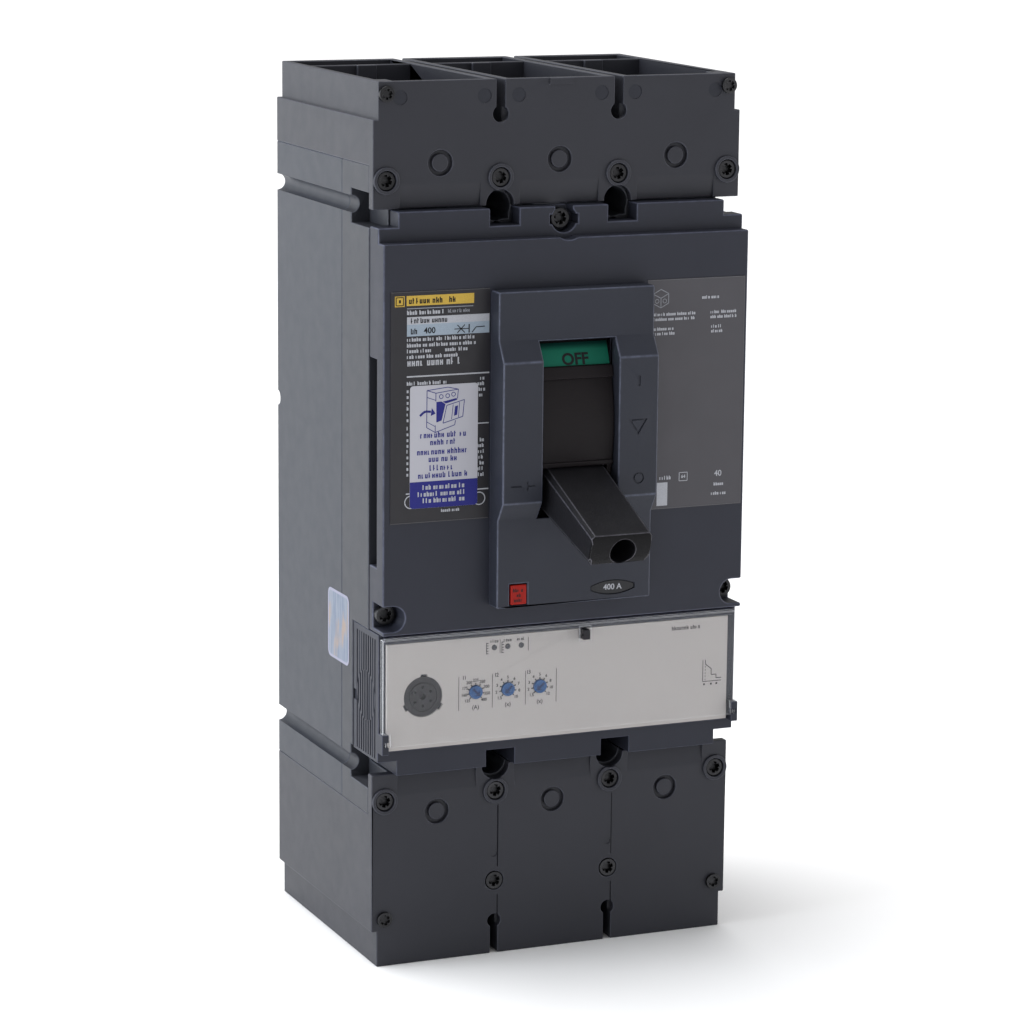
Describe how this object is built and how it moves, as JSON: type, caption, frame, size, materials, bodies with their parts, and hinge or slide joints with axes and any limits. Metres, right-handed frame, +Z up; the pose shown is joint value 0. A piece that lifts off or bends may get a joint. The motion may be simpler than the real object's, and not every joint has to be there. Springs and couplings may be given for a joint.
{
  "type": "molded case circuit breaker",
  "caption": "Three-pole molded case circuit breaker with toggle handle, electronic trip unit behind a clear hinged window, and lug covers above and below.",
  "frame": {"origin": "centre of the four mounting screws, on the mounting face", "axes": "+Z up, towards the line side; -Y out of the front; +X to the right across the poles"},
  "size_m": [0.1402, 0.1558, 0.316],
  "materials": {
    "case": "moulded, fine grain",
    "cover": "moulded, fine grain",
    "black_plastic": "satin",
    "shutter": "satin",
    "green": "satin",
    "red": "satin",
    "blue": "satin",
    "beige": "satin",
    "clear": "polished clear plastic",
    "label_dark": "printed film",
    "label_grey": "printed film",
    "sticker": "printed film",
    "screw_black": "black oxide",
    "steel": "zinc plated",
    "spring_steel": "oiled",
    "copper": "bare",
    "lug_aluminium": "tin plated",
    "rotor_resin": "moulded resin",
    "fibre": "vulcanised fibre",
    "transformer": "potted resin",
    "board_green": "solder mask",
    "coil_tape": "taped winding",
    "trip_resin": "moulded resin"
  },
  "bodies": {
    "case": {"rear_base": "case", "middle_casing": "case", "front_cover": "cover", "escutcheon": "case", "upper_lug_cover": "cover", "lower_lug_cover": "cover", "upper_cover_screws": "screw_black", "lower_cover_screws": "screw_black", "front_cover_screws": "screw_black", "case_screws": "steel", "rating_label": "label_dark", "wiring_label": "label_grey", "instruction_sticker": "sticker", "inspection_sticker": "sticker", "rating_badge": "black_plastic", "mechanism_plates": "steel", "mechanism_pins": "steel", "line_bars": "copper", "load_bars": "copper", "line_lugs": "lug_aluminium", "load_lugs": "lug_aluminium", "lug_screws": "steel", "upper_arc_chutes": "fibre", "lower_arc_chutes": "fibre", "current_transformers": "transformer", "trip_housing": "cover", "trip_front_plate": "beige", "test_socket": "black_plastic", "status_lamps": "black_plastic", "seal_post": "cover", "circuit_board": "board_green", "trip_solenoid": "coil_tape", "trip_button_spring": "spring_steel"},
    "handle": {"handle": "black_plastic", "handle_shutter": "shutter", "off_flag": "green", "handle_yoke": "steel"},
    "rotor": {"contact_rotor": "rotor_resin", "rotor_pins": "steel", "contact_bridges": "copper"},
    "upper_links": {"upper_links": "steel"},
    "lower_links": {"lower_links": "steel"},
    "springs": {"main_springs": "spring_steel"},
    "cradle": {"cradle": "steel"},
    "trip_bar": {"trip_bar": "trip_resin"},
    "button": {"trip_button": "red"},
    "plunger": {"solenoid_plunger": "steel"},
    "pickup_dial": {"pickup_dial": "blue"},
    "delay_dial": {"delay_dial": "blue"},
    "instantaneous_dial": {"instantaneous_dial": "blue"},
    "window": {"trip_window": "clear"}
  },
  "joints": [
    {"name": "handle_pivot", "type": "hinge", "parent": "case", "child": "handle", "pos_m": [0, -0.05, 0.0232], "axis": [-1, 0, 0], "range_deg": [0, 38]},
    {"name": "rotor_axis", "type": "hinge", "parent": "case", "child": "rotor", "pos_m": [0, -0.034, 0.023], "axis": [-1, 0, 0], "range_deg": [-30.01, 0]},
    {"name": "upper_link_pin", "type": "hinge", "parent": "case", "child": "upper_links", "pos_m": [0, -0.056, 0.06], "axis": [-1, 0, 0], "range_deg": [-26.05, 0]},
    {"name": "lower_link_pin", "type": "hinge", "parent": "rotor", "child": "lower_links", "pos_m": [0, -0.04656, 0.02636], "axis": [-1, 0, 0], "range_deg": [0, 60.15]},
    {"name": "spring_hook", "type": "hinge", "parent": "handle", "child": "springs", "pos_m": [0, -0.10484, 0.00432], "axis": [-1, 0, 0], "range_deg": [0, 4.95], "deforming": ["main_springs"]},
    {"name": "cradle_pin", "type": "hinge", "parent": "case", "child": "cradle", "pos_m": [0, -0.056, 0.06], "axis": [-1, 0, 0], "range_deg": [-12, 0]},
    {"name": "button_slide", "type": "slide", "parent": "case", "child": "button", "axis": [0, 1, 0], "range_m": [0, 0.003], "stiffness_N_per_m": 400, "springref_m": -0.001, "deforming": ["trip_button_spring"]},
    {"name": "trip_bar_axis", "type": "hinge", "parent": "case", "child": "trip_bar", "pos_m": [0, -0.103, -0.025], "axis": [1, 0, 0], "range_deg": [0, 18.3]},
    {"name": "plunger_slide", "type": "slide", "parent": "case", "child": "plunger", "axis": [0, 0, 1], "range_m": [0, 0.003]},
    {"name": "window_hinge", "type": "hinge", "parent": "case", "child": "window", "pos_m": [0, -0.1073, -0.0873], "axis": [1, 0, 0], "range_deg": [0, 150]},
    {"name": "pickup_dial_turn", "type": "hinge", "parent": "case", "child": "pickup_dial", "pos_m": [-0.0331, -0.105, -0.0716], "axis": [0, 1, 0], "range_deg": [-90, 180]},
    {"name": "delay_dial_turn", "type": "hinge", "parent": "case", "child": "delay_dial", "pos_m": [-0.0207, -0.105, -0.0716], "axis": [0, 1, 0], "range_deg": [-90, 180]},
    {"name": "instantaneous_dial_turn", "type": "hinge", "parent": "case", "child": "instantaneous_dial", "pos_m": [-0.0083, -0.105, -0.0716], "axis": [0, 1, 0], "range_deg": [-90, 180]}
  ],
  "couplings": [
    {"joint": "rotor_axis", "follows": "handle_pivot", "ratio": -0.78947},
    {"joint": "upper_link_pin", "follows": "handle_pivot", "ratio": -0.68528},
    {"joint": "lower_link_pin", "follows": "handle_pivot", "ratio": 1.5826},
    {"joint": "spring_hook", "follows": "handle_pivot", "ratio": 0.13012},
    {"joint": "trip_bar_axis", "follows": "button_slide", "rad_per_m": 104.72}
  ]
}
